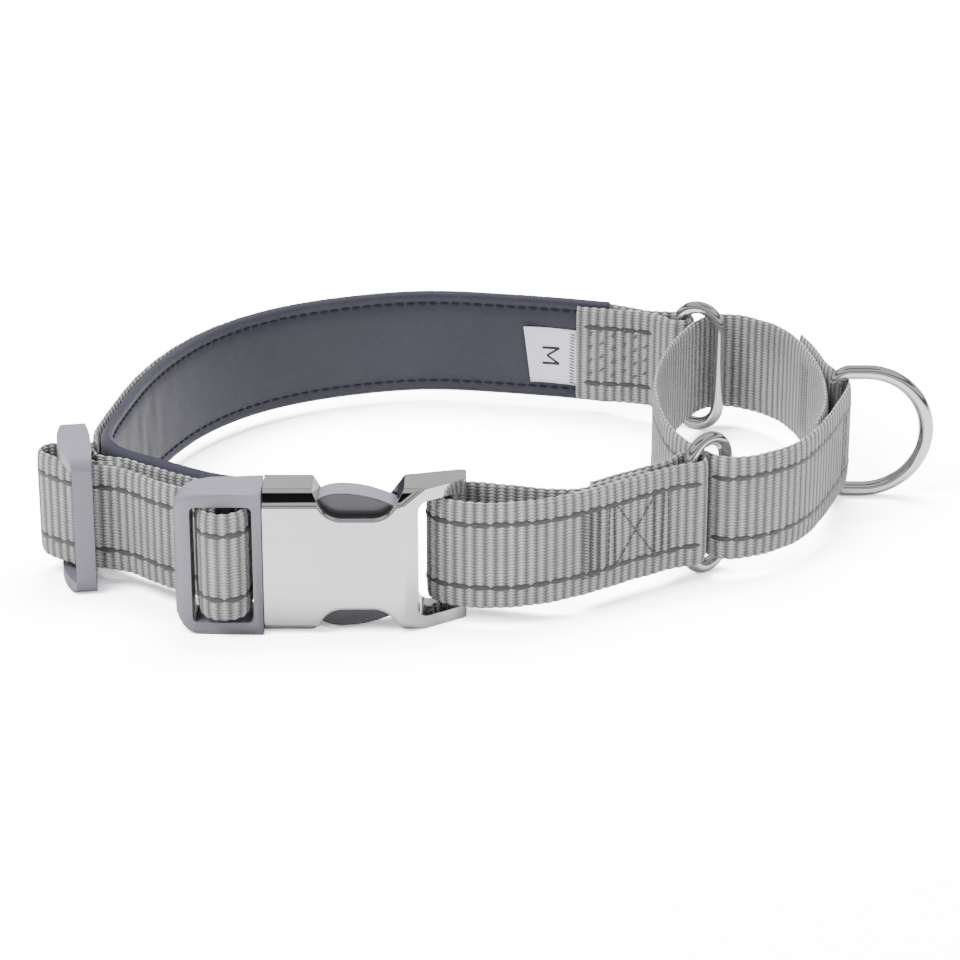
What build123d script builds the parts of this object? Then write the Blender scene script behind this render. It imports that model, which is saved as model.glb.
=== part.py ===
from build123d import *
import os
from math import atan2, cos, degrees, radians, sin

# Martingale dog collar, in millimetres. It stands on its edge: Z is up, the strap
# bands run across XY, the buckle is at the front (-Y) and the leash ring at +X.

# ---- Webbing and lining -------------------------------------------------------
WEB_WIDTH = 25.4
WEB_THICK = 1.5
WEB_BOTTOM = 4.5
WEB_TOP = WEB_BOTTOM + WEB_WIDTH
WEB_MIDDLE = WEB_BOTTOM + WEB_WIDTH / 2
LAYER_GAP = 0.25                      # air between two webbing layers that are sewn flat
LAYER_PITCH = WEB_THICK + LAYER_GAP
LINING_BOTTOM = 3.5
LINING_TOP = 30.9
COVER_THICK = 0.8
FOAM_THICK = 1.7
FOAM_INSET = 1.2                      # the foam stops short of the cover's rolled edges
LINING_THICK = COVER_THICK + FOAM_THICK
WEB_OFFSET = LINING_THICK + LAYER_GAP + WEB_THICK / 2    # webbing centre outside the lining's face
THREAD_THICK = 0.3
THREAD_GAP = 0.1
WEB_THREAD_INSET = 5.0                # edge rows on the webbing
SEAM_INSET = 2.9                      # seam rows on the lining
ROW_HEIGHT = 0.6
SPAN = 5                              # sample steps in one smooth span of a strip's edge

# ---- Metal rings ----------------------------------------------------------------
RING_HEIGHT = 34.4
RING_WIDTH = 14.4
RING_WIRE = 3.2
RING_BOTTOM = 0.1
RING_MID = RING_BOTTOM + RING_HEIGHT / 2
LEG_REACH = (RING_WIDTH - RING_WIRE) / 2     # ring middle to either leg's axis
FOLD_RADIUS = RING_WIRE / 2 + 1.15 + WEB_THICK / 2
D_WIRE = 3.5
D_HEIGHT = 33.6
D_REACH = 22.4                        # bar axis to the far side of the bow, wire centres
D_CORNER = 3.5

BACK_RING = (51.5, 53.0)
BACK_RING_TURN = -25.0
FRONT_RING = (47.8, -38.6)
FRONT_RING_TURN = 40.0
D_BAR = (81.6, 8.0)

# ---- Buckle ---------------------------------------------------------------------
BUCKLE_TALL = 33.4
RAIL = 3.0
FACE_Y = -73.5
SHELL_LEFT = -51.5
SHELL_RIGHT = -7.0
SHELL_BACK_Y = -61.5
SHELL_END_BACK_Y = -57.8
SHELL_END_FRONT_Y = -63.8
TAPER_X = -21.0
BEVEL_DEEP = 3.0
BEVEL_TALL = 2.6
NOTCH_LEFT = -40.8
NOTCH_RIGHT = -20.6
NOTCH_DEEP = 5.8
NOTCH_ROUND = 5.5
WINDOW_X = -17.7
END_BAR = (-10.2, -61.6)
BAR_RADIUS = 2.0
CAVITY_END = -20.0
CAVITY_FRONT_Y = -71.0
CAVITY_BACK_Y = -63.0
CAVITY_WALL = 2.2

MALE_LEFT = -71.3
MALE_RIGHT = -51.7
SLOT_LEFT = -67.3
SLOT_RIGHT = -53.8
CENTRE_BAR = (-60.0, -67.0)
CENTRE_BAR_RADIUS = 2.2
BASE_END = -48.9
TONGUE_END = -24.5
TONGUE_TALL = 8.0
ARM_PIVOT_X = -46.2
ARM_PIVOT_DROP = 5.4                  # pivot below the buckle's top edge
ARM_ROOT_RADIUS = 2.3
ARM_FRONT_Y = -70.4
ARM_BACK_Y = -63.7
HEAD_START = -40.3
HEAD_END = -22.0
HEAD_TOP_DROP = 0.9

# ---- Tri-glide slider -------------------------------------------------------------
SLIDER_CENTRE = (-94.5, -39.8)
SLIDER_TURN = -79.8                   # direction of its length, from back to front
SLIDER_LENGTH = 25.4
SLIDER_TALL = 33.4
SLIDER_THICK = 4.4
SLIDER_END_BAR = 3.9
SLIDER_BOW = 0.8
SLIDER_CREST = 5.4                    # how far its rails swell outward at their middle
SLOT_CORNER = 0.4

# ---- Plan routes of the soft strips (X, Y) ----------------------------------------
# Neck face of the lining, from the back ring round to the free tongue behind the buckle.
NECK_ROUTE = [(29.0, 62.2), (18.0, 65.3), (1.0, 69.0), (-16.0, 71.2), (-37.0, 67.0), (-57.0, 56.5),
              (-71.0, 41.0), (-80.0, 22.0), (-84.5, 6.0), (-87.3, -10.0), (-88.9, -22.0),
              (-88.3, -31.0), (-84.3, -38.0), (-77.6, -43.3), (-69.6, -49.0), (-62.0, -53.6),
              (-54.0, -56.2)]
STRAP_SPLIT = 0.60                    # share of the neck route where the free webbing begins
FLAP_ROUTE = [(21.0, 62.9), (28.4, 60.8), (34.0, 59.7), (38.6, 58.2)]
PINCH = (39.4, 59.8)

# One strip whose ends overlap, lapped inside and outside the leash ring's bar.
LOOP_ROUTE = [(76.5, 41.4), (79.3, 29.0), (81.3, 18.5), (83.8, 12.4), (84.7, 8.0), (83.8, 2.6),
              (81.6, -4.0), (79.4, -10.5), (75.9, -19.5), (69.2, -32.0), (62.0, -38.4), (56.0, -41.4),
              (51.6, -41.7), (48.1, -38.9), (44.7, -33.8), (40.8, -24.5), (38.6, -12.0),
              (38.0, 1.0), (39.2, 16.0), (42.2, 30.0), (46.6, 43.0), (51.5, 53.0), (55.2, 56.6),
              (59.8, 57.0), (66.0, 53.6), (71.3, 47.6), (75.0, 38.5), (77.5, 26.0), (78.6, 16.0),
              (78.7, 6.0), (78.2, -1.5), (77.4, -8.0), (74.4, -18.9)]

# Outer layer of the front strap where its three layers are sewn flat, then its open loop.
SEWN_ROUTE = [(39.4, -47.6), (36.5, -49.6), (32.0, -52.6), (23.0, -59.3), (18.4, -62.4)]
FRONT_LOOP = [(14.2, -64.9), (9.0, -67.2), (5.0, -68.4), (0.0, -69.2), (-4.0, -69.2), (-8.0, -68.3),
              (-12.2, -66.2), (-15.2, -62.3), (-13.4, -58.0), (-9.0, -56.4), (-4.0, -57.0),
              (2.0, -58.4), (7.0, -59.8), (12.0, -60.9)]

# Around the slider, as (along its length, outward from it).
SLIDER_OVER = [(-11.5, -4.0), (-8.5, -3.9), (-5.9, -1.9), (-5.5, 0.6), (-6.6, 3.6), (-7.7, 6.3),
               (-5.4, 9.0), (-1.0, 7.6), (3.0, 4.2), (6.2, 0.4), (8.0, -3.2)]
STRIP_TO_BUCKLE = [(-86.5, -48.0), (-78.5, -53.9), (-71.2, -59.6), (-67.4, -62.2), (-65.8, -66.2),
                   (-65.5, -70.2), (-64.2, -73.7), (-60.4, -75.8), (-56.4, -73.9), (-55.1, -70.2),
                   (-55.1, -65.6), (-57.3, -61.4), (-60.8, -58.9), (-65.2, -56.4), (-72.0, -51.8),
                   (-79.8, -46.2), (-86.6, -42.0)]
SEWN_RADIUS = BAR_RADIUS + 0.55 + WEB_THICK / 2
SEWN_FLAP = [(-90.2, -44.5), (-87.4, -44.6), (-84.2, -46.2)]


# ---- Helpers ----------------------------------------------------------------------
def side_point(line, place, outward):
    """Point beside a plan line, at a share of its length; outward is to its right."""
    spot = line @ place
    heading = line % place
    return (spot.X + heading.Y * outward, spot.Y - heading.X * outward)


def side_edges(line, places, outward):
    """Smooth edge run beside a plan line, in short spans that share their end directions."""
    runs = [places[i:i + SPAN + 1] for i in range(0, len(places) - 1, SPAN)]
    edges = []
    for run in runs:
        points = [side_point(line, place, outward) for place in run]
        edges.append(Spline(*points, tangents=[line % run[0], line % run[-1]]))
    return edges


def band(line, near, far, bottom, top, start=0.0, end=1.0, step=2.0):
    """Upright strip between two offsets of a plan line."""
    count = max(4, int(line.length * (end - start) / step))
    places = [start + (end - start) * i / count for i in range(count + 1)]
    inner = side_edges(line, places, near)
    outer = side_edges(line, places, far)
    first = Line(inner[0] @ 0, outer[0] @ 0)
    last = Line(inner[-1] @ 1, outer[-1] @ 1)
    outline = make_face(inner + [last] + outer + [first])
    return Pos(0, 0, bottom) * extrude(outline, amount=top - bottom, dir=(0, 0, 1))


def webbing(route):
    """Full-width webbing along a plan route, which is its middle line."""
    line = Spline(*route)
    return band(line, -WEB_THICK / 2, WEB_THICK / 2, WEB_BOTTOM, WEB_TOP, step=1.1)


def around(centre, radius, start, end, count):
    """Points on an arc about a bar."""
    turns = [radians(start + (end - start) * i / (count - 1)) for i in range(count)]
    return [(centre[0] + radius * cos(t), centre[1] + radius * sin(t)) for t in turns]


def ring_leg(centre, turn):
    """Axis of the ring's leg that sits in a strap's folded end."""
    return (centre[0] - LEG_REACH * cos(radians(turn)), centre[1] - LEG_REACH * sin(radians(turn)))


def slider_point(along, outward):
    """Plan point from the slider's own axes."""
    heading = radians(SLIDER_TURN)
    x = SLIDER_CENTRE[0] + along * cos(heading) + outward * sin(heading)
    y = SLIDER_CENTRE[1] + along * sin(heading) - outward * cos(heading)
    return (x, y)


def thread_bar(line, place, outward, height, length, tall, lean=0.0):
    """One straight stitch lying against a strip's face."""
    spot = side_point(line, place, outward)
    heading = line % place
    turn = degrees(atan2(heading.Y, heading.X))
    stitch = Box(length, THREAD_THICK, tall)
    return Pos(spot[0], spot[1], height) * Rot(0, 0, turn) * Rot(0, lean, 0) * stitch


def face_offset(side):
    """Offset from a webbing's middle line to the middle of a thread on its face."""
    return side * (WEB_THICK / 2 + THREAD_GAP + THREAD_THICK / 2)


# ---- Plan lines shared by several pieces ---------------------------------------------
neck_line = Spline(*NECK_ROUTE)
back_leg = ring_leg(BACK_RING, BACK_RING_TURN)
front_leg = ring_leg(FRONT_RING, FRONT_RING_TURN)


def neck_webbing_route():
    places = [0.012 + (STRAP_SPLIT - 0.012) * i / 34 for i in range(35)]
    body = [side_point(neck_line, p, WEB_OFFSET) for p in places]
    return FLAP_ROUTE + around(back_leg, FOLD_RADIUS, -150, 100, 9) + [PINCH] + body


def adjuster_route():
    places = [STRAP_SPLIT + 0.001 + 0.014 * i for i in range(12)]
    start = [side_point(neck_line, p, WEB_OFFSET) for p in places]
    over = [slider_point(*p) for p in SLIDER_OVER]
    bar_turns = around((0, 0), SEWN_RADIUS, -80, -350, 9)
    sewn = [slider_point(*p) for p in bar_turns]
    return start + over + STRIP_TO_BUCKLE + sewn + SEWN_FLAP


def front_route():
    sewn_line = Spline(*SEWN_ROUTE)
    inner = [side_point(sewn_line, p, 2 * LAYER_PITCH) for p in (0.80, 0.60, 0.40, 0.20)]
    middle = [side_point(sewn_line, p, LAYER_PITCH) for p in (0.97, 0.75, 0.55, 0.40, 0.25)]
    return inner + around(front_leg, FOLD_RADIUS, 165, -85, 9) + SEWN_ROUTE + FRONT_LOOP + middle


# ---- Soft pieces ------------------------------------------------------------------------
def lining_cover():
    return band(neck_line, 0, COVER_THICK, LINING_BOTTOM, LINING_TOP, step=4)


def lining_foam():
    return band(neck_line, COVER_THICK + 0.05, LINING_THICK, LINING_BOTTOM + FOAM_INSET,
                LINING_TOP - FOAM_INSET, 0.004, 0.996, step=4)


def seam_rows(line, offset, bottom, top, start, end, step):
    near = offset - THREAD_THICK / 2
    far = offset + THREAD_THICK / 2
    heights = (bottom, top - ROW_HEIGHT)
    return Compound([band(line, near, far, z, z + ROW_HEIGHT, start, end, step) for z in heights])


def lining_seam_threads():
    offset = -(THREAD_GAP + THREAD_THICK / 2)
    return seam_rows(neck_line, offset, LINING_BOTTOM + SEAM_INSET, LINING_TOP - SEAM_INSET,
                     0.01, 0.99, 4)


def neck_edge_threads():
    offset = WEB_OFFSET + face_offset(1)
    return seam_rows(neck_line, offset, WEB_BOTTOM + WEB_THREAD_INSET, WEB_TOP - WEB_THREAD_INSET,
                     0.03, STRAP_SPLIT - 0.005, 4)


def front_edge_threads():
    line = Spline(*front_route())
    return seam_rows(line, face_offset(-1), WEB_BOTTOM + WEB_THREAD_INSET, WEB_TOP - WEB_THREAD_INSET,
                     0.265, 0.56, 2)


def loop_edge_threads():
    line = Spline(*LOOP_ROUTE)
    return seam_rows(line, face_offset(-1), WEB_BOTTOM + WEB_THREAD_INSET, WEB_TOP - WEB_THREAD_INSET,
                     0.005, 0.245, 2)


def size_label():
    return band(neck_line, -0.4, -0.1, 8.0, 22.6, 0.040, 0.093, step=2)


def back_fold_stitching():
    """Rows of short stitches that close the fold round the back ring."""
    line = Spline(*neck_webbing_route())
    rows = [WEB_MIDDLE + 4.75 * i for i in (-2, -1, 0, 1, 2)]
    places = [0.012 + 0.0125 * i for i in range(4)]
    bars = [thread_bar(line, p, face_offset(1), z, 2.4, 0.6) for z in rows for p in places]
    return Compound(bars)


def front_fold_stitching():
    """Boxed cross that closes the fold round the front ring."""
    line = Spline(*front_route())
    centre = 0.315
    half = 0.023
    face = face_offset(-1)
    bars = []
    for side in (-1, 1):
        bars.append(thread_bar(line, centre + side * half, face, WEB_MIDDLE, 0.6, 13))
        bars.append(thread_bar(line, centre, face - 0.1, WEB_MIDDLE + side * 5.9, 6.6, 0.6))
    bars.append(thread_bar(line, centre, face - 0.1, WEB_MIDDLE, 10.0, 0.6, lean=55))
    return Compound(bars)


def loop_stitching():
    """Bar tacks on both sides of the leash ring's bar."""
    line = Spline(*LOOP_ROUTE)
    places = [0.062, 0.070, 0.150, 0.158]
    face = face_offset(-1)
    return Compound([thread_bar(line, p, face, WEB_MIDDLE, 0.6, 13) for p in places])


def adjuster_stitching():
    """Bar tacks on the strap end that is sewn round the slider's middle bar."""
    line = Spline(*SEWN_FLAP)
    face = face_offset(1)
    return Compound([thread_bar(line, p, face, WEB_MIDDLE, 0.6, 18) for p in (0.55, 0.8)])


# ---- Rings --------------------------------------------------------------------------------
def oval_ring(centre, turn):
    """Long ring of round wire: two upright legs joined by half circles."""
    half = RING_HEIGHT / 2 - RING_WIRE / 2 - LEG_REACH
    left = Line((-LEG_REACH, 0, -half), (-LEG_REACH, 0, half))
    top = ThreePointArc((-LEG_REACH, 0, half), (0, 0, half + LEG_REACH), (LEG_REACH, 0, half))
    right = Line((LEG_REACH, 0, half), (LEG_REACH, 0, -half))
    bottom = ThreePointArc((LEG_REACH, 0, -half), (0, 0, -half - LEG_REACH), (-LEG_REACH, 0, -half))
    section = Pos(-LEG_REACH, 0, -half) * Circle(RING_WIRE / 2)
    ring = sweep(section, path=Wire([left, top, right, bottom]))
    return Pos(centre[0], centre[1], RING_MID) * Rot(0, 0, turn) * ring


def d_ring():
    """Leash ring: a straight upright bar and a round bow."""
    high = D_HEIGHT / 2 - D_WIRE / 2
    bend = D_CORNER * (1 - cos(radians(45)))
    arm = D_REACH - high
    bar = Line((0, 0, -high + D_CORNER), (0, 0, high - D_CORNER))
    upper = ThreePointArc((0, 0, high - D_CORNER), (bend, 0, high - bend), (D_CORNER, 0, high))
    out = Line((D_CORNER, 0, high), (arm, 0, high))
    bow = ThreePointArc((arm, 0, high), (D_REACH, 0, 0), (arm, 0, -high))
    back = Line((arm, 0, -high), (D_CORNER, 0, -high))
    lower = ThreePointArc((D_CORNER, 0, -high), (bend, 0, bend - high), (0, 0, -high + D_CORNER))
    section = Pos(0, 0, -high + D_CORNER) * Circle(D_WIRE / 2)
    ring = sweep(section, path=Wire([bar, upper, out, bow, back, lower]))
    return Pos(D_BAR[0], D_BAR[1], RING_BOTTOM + D_HEIGHT / 2) * ring


# ---- Buckle -------------------------------------------------------------------------------
def upright(outline, y_front, y_back):
    """Solid from a front-view outline drawn in X and Z."""
    return Pos(0, y_back, 0) * extrude(Plane.XZ * outline, amount=y_back - y_front)


def box_between(low, high):
    size = [b - a for a, b in zip(low, high)]
    middle = [(a + b) / 2 for a, b in zip(low, high)]
    return Pos(*middle) * Box(*size)


def notch(bottom, direction):
    """Finger notch seen from the front, cut from the top or the bottom edge."""
    floor = bottom + direction * NOTCH_DEEP
    corners = [(NOTCH_LEFT, bottom - direction * 2), (NOTCH_LEFT, bottom), (NOTCH_LEFT + 3.6, floor),
               (NOTCH_RIGHT - 4.2, floor), (NOTCH_RIGHT, bottom), (NOTCH_RIGHT, bottom - direction * 2)]
    outline = make_face(Polyline(*corners, close=True))
    lowest = outline.vertices().filter_by(lambda v: abs(v.Y - floor) < 0.01)
    return fillet(lowest, NOTCH_ROUND)


def shell_plan():
    corners = [(SHELL_LEFT, SHELL_BACK_Y), (SHELL_LEFT, FACE_Y), (TAPER_X, FACE_Y),
               (SHELL_RIGHT, SHELL_END_FRONT_Y), (SHELL_RIGHT, SHELL_END_BACK_Y), (TAPER_X, SHELL_BACK_Y)]
    return make_face(Polyline(*corners, close=True))


def shell_section():
    """End view in Y and Z, with the deep front bevels."""
    back = SHELL_END_BACK_Y
    corners = [(back, 0), (FACE_Y + BEVEL_DEEP, 0), (FACE_Y, BEVEL_TALL),
               (FACE_Y, BUCKLE_TALL - BEVEL_TALL), (FACE_Y + BEVEL_DEEP, BUCKLE_TALL),
               (back, BUCKLE_TALL)]
    return make_face(Polyline(*corners, close=True))


def buckle_female_shell():
    """Hollow metal shell with a finger notch in each edge and a strap bar at its end."""
    body = extrude(shell_plan(), amount=BUCKLE_TALL)
    rounded = body.edges().filter_by(Axis.Z).group_by(Axis.X)[-1]
    body = fillet(rounded, 1.2)
    long_section = Pos(SHELL_LEFT, 0, 0) * extrude(Plane.YZ * shell_section(),
                                                   amount=SHELL_RIGHT - SHELL_LEFT)
    body = body & long_section
    for base, direction in ((0, 1), (BUCKLE_TALL, -1)):
        body -= upright(notch(base, direction), FACE_Y - 1, SHELL_END_BACK_Y + 1)
    body -= box_between((SHELL_LEFT - 1, CAVITY_FRONT_Y, CAVITY_WALL),
                        (CAVITY_END, CAVITY_BACK_Y, BUCKLE_TALL - CAVITY_WALL))
    window = Pos(WINDOW_X + 10, BUCKLE_TALL / 2) * RectangleRounded(20, BUCKLE_TALL - 2 * RAIL, 2.5)
    body -= upright(window, FACE_Y - 1, SHELL_END_BACK_Y + 1)
    end = Pos(SHELL_RIGHT, BUCKLE_TALL / 2) * Rectangle(6, BUCKLE_TALL - 2 * RAIL)
    body -= upright(end, FACE_Y - 1, SHELL_END_BACK_Y + 1)
    bar = Pos(END_BAR[0], END_BAR[1], BUCKLE_TALL / 2) * Cylinder(BAR_RADIUS, BUCKLE_TALL - 2)
    return body + bar


def male_plan():
    left_front = (MALE_LEFT, FACE_Y)
    left_back = (MALE_LEFT, FACE_Y + 7.2)
    back = [(SLOT_LEFT + 4, SHELL_BACK_Y - 1.4), (MALE_RIGHT, SHELL_BACK_Y - 0.3)]
    plan = make_face(Polyline((MALE_RIGHT, FACE_Y), left_front, left_back, *back, close=True))
    by_left = plan.vertices().sort_by(Axis.X)[:2].sort_by(Axis.Y)
    plan = fillet(by_left[0], 5.0)
    return fillet(plan.vertices().sort_by(Axis.Y)[-3], 1.2)


def buckle_male_frame():
    """Plastic strap frame, with the base and guide tongue that go into the shell."""
    width = MALE_RIGHT - MALE_LEFT
    frame = extrude(male_plan(), amount=BUCKLE_TALL)
    outline = Pos(MALE_LEFT + width, BUCKLE_TALL / 2) * RectangleRounded(2 * width, BUCKLE_TALL, 5.5)
    frame = frame & upright(outline, FACE_Y - 1, SHELL_BACK_Y + 1)
    slot_middle = (SLOT_LEFT + SLOT_RIGHT) / 2
    slot = Pos(slot_middle, BUCKLE_TALL / 2) * RectangleRounded(
        SLOT_RIGHT - SLOT_LEFT, BUCKLE_TALL - 2 * RAIL, 1.2)
    frame -= upright(slot, FACE_Y - 1, SHELL_BACK_Y + 1)
    frame += Pos(CENTRE_BAR[0], CENTRE_BAR[1], BUCKLE_TALL / 2) * Cylinder(
        CENTRE_BAR_RADIUS, BUCKLE_TALL - 3)
    frame += box_between((SLOT_RIGHT + 0.8, CAVITY_FRONT_Y + 0.2, CAVITY_WALL + 0.3),
                         (BASE_END, CAVITY_BACK_Y - 0.2, BUCKLE_TALL - CAVITY_WALL - 0.3))
    tongue_low = (BUCKLE_TALL - TONGUE_TALL) / 2
    frame += box_between((BASE_END - 1, CAVITY_FRONT_Y + 1.2, tongue_low),
                         (TONGUE_END, CAVITY_BACK_Y - 1.2, tongue_low + TONGUE_TALL))
    return frame


def latch_arm_outline():
    """Upper arm seen from the front: round root, slim arm and a finger head."""
    pivot_z = BUCKLE_TALL - ARM_PIVOT_DROP
    top = BUCKLE_TALL - HEAD_TOP_DROP
    under = pivot_z - 1.6
    root = Pos(ARM_PIVOT_X, pivot_z) * Circle(ARM_ROOT_RADIUS)
    neck = (HEAD_START, pivot_z + 1.8)
    tip = (HEAD_END, pivot_z + 1.3)
    crest = Spline(neck, (HEAD_START + 1.3, top - 1.1), (HEAD_START + 3.6, top - 0.2),
                   (HEAD_START + 6.6, top), (HEAD_START + 10.6, top - 0.45),
                   (HEAD_START + 14.6, top - 1.6), tip)
    rest = Polyline(tip, (HEAD_END, under), (ARM_PIVOT_X, under), (ARM_PIVOT_X, pivot_z + 1.6), neck)
    return root + make_face([crest, rest])


def upper_latch_arm():
    return upright(latch_arm_outline(), ARM_FRONT_Y, ARM_BACK_Y)


def lower_latch_arm():
    middle = Plane(origin=(0, 0, BUCKLE_TALL / 2), z_dir=(0, 0, 1))
    return mirror(upper_latch_arm(), about=middle)


# ---- Slider ---------------------------------------------------------------------------------
def slider_frame():
    """Plastic tri-glide: two end bars, a round middle bar and two slots between crescent rails."""
    half = SLIDER_LENGTH / 2
    inside = SLIDER_THICK / 2 - SLIDER_BOW
    outside = -SLIDER_THICK / 2 - SLIDER_BOW
    spine = ThreePointArc((-half, -SLIDER_BOW, 0), (0, 0, 0), (half, -SLIDER_BOW, 0))
    solid = band(spine, -SLIDER_THICK / 2, SLIDER_THICK / 2, 0, SLIDER_TALL, step=4)
    inner = ThreePointArc((-half, inside, 0), (0, SLIDER_THICK / 2, 0), (half, inside, 0))
    outer = ThreePointArc((half, outside, 0), (0, -SLIDER_CREST, 0), (-half, outside, 0))
    ends = [Line(inner @ 1, outer @ 0), Line(outer @ 1, inner @ 0)]
    crescent = make_face([inner, ends[0], outer, ends[1]])
    for base in (0, SLIDER_TALL - RAIL):
        solid += Pos(0, 0, base) * extrude(crescent, amount=RAIL, dir=(0, 0, 1))
    corners = Pos(0, SLIDER_TALL / 2) * RectangleRounded(SLIDER_LENGTH - 0.1, SLIDER_TALL, 3.5)
    solid = solid & upright(corners, -SLIDER_CREST - 1, SLIDER_THICK)
    slot_long = (SLIDER_LENGTH - 2 * SLIDER_END_BAR - 2 * BAR_RADIUS) / 2
    slot_middle = BAR_RADIUS + slot_long / 2
    for side in (-1, 1):
        slot = Pos(side * slot_middle, SLIDER_TALL / 2) * RectangleRounded(
            slot_long, SLIDER_TALL - 2 * RAIL, SLOT_CORNER)
        solid -= upright(slot, -SLIDER_THICK, SLIDER_THICK)
    square = box_between((-BAR_RADIUS - 0.01, -SLIDER_THICK, RAIL),
                         (BAR_RADIUS + 0.01, SLIDER_THICK, SLIDER_TALL - RAIL))
    solid -= square
    solid += Pos(0, 0, SLIDER_TALL / 2) * Cylinder(BAR_RADIUS, SLIDER_TALL - 3)
    return Pos(SLIDER_CENTRE[0], SLIDER_CENTRE[1], 0) * Rot(0, 0, SLIDER_TURN) * solid


# ---- Write every piece ------------------------------------------------------------------------
pieces = {
    "neck_webbing": webbing(neck_webbing_route()),
    "neck_edge_threads": neck_edge_threads(),
    "adjuster_webbing": webbing(adjuster_route()),
    "adjuster_stitching": adjuster_stitching(),
    "lining_cover": lining_cover(),
    "lining_foam": lining_foam(),
    "lining_seam_threads": lining_seam_threads(),
    "size_label": size_label(),
    "back_fold_stitching": back_fold_stitching(),
    "slider_frame": slider_frame(),
    "buckle_male_frame": buckle_male_frame(),
    "upper_latch_arm": upper_latch_arm(),
    "lower_latch_arm": lower_latch_arm(),
    "buckle_female_shell": buckle_female_shell(),
    "front_strap": webbing(front_route()),
    "front_edge_threads": front_edge_threads(),
    "front_fold_stitching": front_fold_stitching(),
    "front_ring": oval_ring(FRONT_RING, FRONT_RING_TURN),
    "back_ring": oval_ring(BACK_RING, BACK_RING_TURN),
    "control_loop": webbing(LOOP_ROUTE),
    "loop_edge_threads": loop_edge_threads(),
    "loop_stitching": loop_stitching(),
    "d_ring": d_ring(),
}

os.makedirs("parts", exist_ok=True)
boxes = [shape.bounding_box() for shape in pieces.values()]
middle_x = (min(b.min.X for b in boxes) + max(b.max.X for b in boxes)) / 2
middle_y = (min(b.min.Y for b in boxes) + max(b.max.Y for b in boxes)) / 2
lowest = min(b.min.Z for b in boxes)
print("centred by", middle_x, middle_y, lowest)
for name, shape in pieces.items():
    export_step(Pos(-middle_x, -middle_y, -lowest) * shape, f"parts/{name}.step")
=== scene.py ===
import math

import bpy
import bmesh
import numpy as np
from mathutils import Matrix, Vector


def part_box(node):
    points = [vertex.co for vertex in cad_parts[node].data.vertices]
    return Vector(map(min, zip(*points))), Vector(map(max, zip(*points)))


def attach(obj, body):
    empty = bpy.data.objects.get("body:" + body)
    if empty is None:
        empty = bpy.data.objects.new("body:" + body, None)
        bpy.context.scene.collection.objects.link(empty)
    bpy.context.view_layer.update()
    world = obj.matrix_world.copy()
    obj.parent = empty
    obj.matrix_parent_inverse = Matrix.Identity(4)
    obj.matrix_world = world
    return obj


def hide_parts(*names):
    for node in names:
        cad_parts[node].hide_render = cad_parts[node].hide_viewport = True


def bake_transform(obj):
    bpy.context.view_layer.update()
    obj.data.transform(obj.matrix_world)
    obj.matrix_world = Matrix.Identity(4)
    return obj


# Looks of a martingale dog collar. Plan routes are in millimetres, as in the part's
# source; every mesh is made in metres, in the part's frame.

# ---- Sizes, mm ------------------------------------------------------------------------
MM = 0.001
WEB_WIDTH = 25.4
WEB_THICK = 1.5
WEB_BOTTOM = 4.5
WEB_TOP = WEB_BOTTOM + WEB_WIDTH
WEB_MIDDLE = WEB_BOTTOM + WEB_WIDTH / 2
LAYER_PITCH = 1.75
LINING_BOTTOM = 3.5
LINING_TOP = 30.9
LINING_THICK = 2.5
WEB_OFFSET = LINING_THICK + 0.25 + WEB_THICK / 2
RIB_PITCH = 2.25                   # ribs run across the webbing
RIB_DEPTH = 0.2
PICK_PITCH = 0.74                  # herringbone picks inside one rib
SELVEDGE_NIP = 0.22                # how far the edges draw in between two ribs
SELVEDGE_WAVER = 0.05
WEB_STEP = 0.34                    # between two sections of a swept strap
LINING_STEP = 0.8
ROW_INSET = 5.2                    # edge rows of dark dashes
DASH_PITCH = 4.5
DASH_LONG = 4.9
DASH_TALL = 1.3
DASH_THICK = 0.34
DASH_SUNK = 0.06
DASH_WAVER = 0.12
BEAD_STEPS = 12                    # along and round one dash
BEAD_SIDES = 8
THREAD_STEPS = 6                   # along and round one stitch
THREAD_SIDES = 6
THREAD_FACE = WEB_THICK / 2 + 0.05
STITCH_SHARE = 0.86                # of its pitch that a stitch covers
SEAM_INSET = 3.1                   # the lining's seams
SEAM_PITCH = 2.9
SEAM_SHARE = 0.78
SEAM_START = 1.5
CHANNEL_WIDTH = 0.75               # the groove that a seam pulls into the lining
CHANNEL_DEPTH = 0.38
PAD_RAMP = 4.5                     # from the groove to the pad's full height
PAD_PUFF = 0.35
PAD_BASE = 0.2
ROLL_WIDTH = 1.3                   # the lining's rolled edge
ROLL_DEPTH = 1.35
BACK_ROLL_WIDTH = 2.0
BEND_SHARE = 0.66                  # where along the lining its tight bend is
BEND_SPREAD = 0.07
CREASE_DEPTH = 0.15
LABEL_START = 8.4
LABEL_LONG = 13.4
LABEL_TALL = 15.0
LABEL_BOTTOM = 7.9
LABEL_THICK = 0.18
LABEL_LEAN = 1.6
LABEL_GAP = 0.75                   # from the lining's plan route to the label
LABEL_CURL_START = 14.0
LETTER_CENTRE = (LABEL_START + 6.6, 15.6)
LETTER_STRETCH = 1.1

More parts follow.
